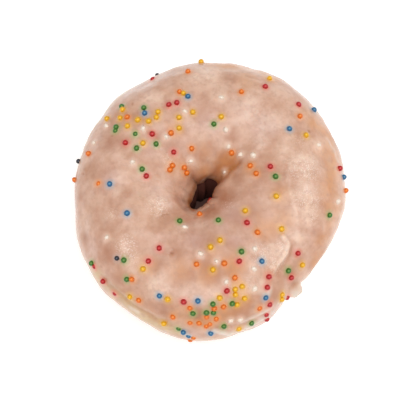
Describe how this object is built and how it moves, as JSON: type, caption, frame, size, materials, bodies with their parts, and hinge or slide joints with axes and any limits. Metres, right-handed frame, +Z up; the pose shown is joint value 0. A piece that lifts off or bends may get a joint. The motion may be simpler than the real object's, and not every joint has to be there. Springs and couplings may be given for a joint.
{
  "type": "sprinkle frosted doughnut",
  "caption": "Raised ring doughnut with a small squeezed hole, a thin poured icing over its top half and round sugar sprinkles.",
  "frame": {"origin": "middle of the doughnut's footprint, on the surface it lies on", "axes": "+Z up through the ring, -Y to its front, +X to its right; the ring is a little longer along Y than along X"},
  "size_m": [0.0966, 0.1024, 0.0371],
  "materials": {
    "fried_dough": "matte",
    "sugar_icing": "satin",
    "red_sugar": "satin",
    "orange_sugar": "satin",
    "yellow_sugar": "satin",
    "green_sugar": "satin",
    "blue_sugar": "satin",
    "white_sugar": "satin",
    "dark_sugar": "satin"
  },
  "bodies": {
    "root": {"dough_ring": "fried_dough", "icing": "sugar_icing"}
  },
  "joints": []
}
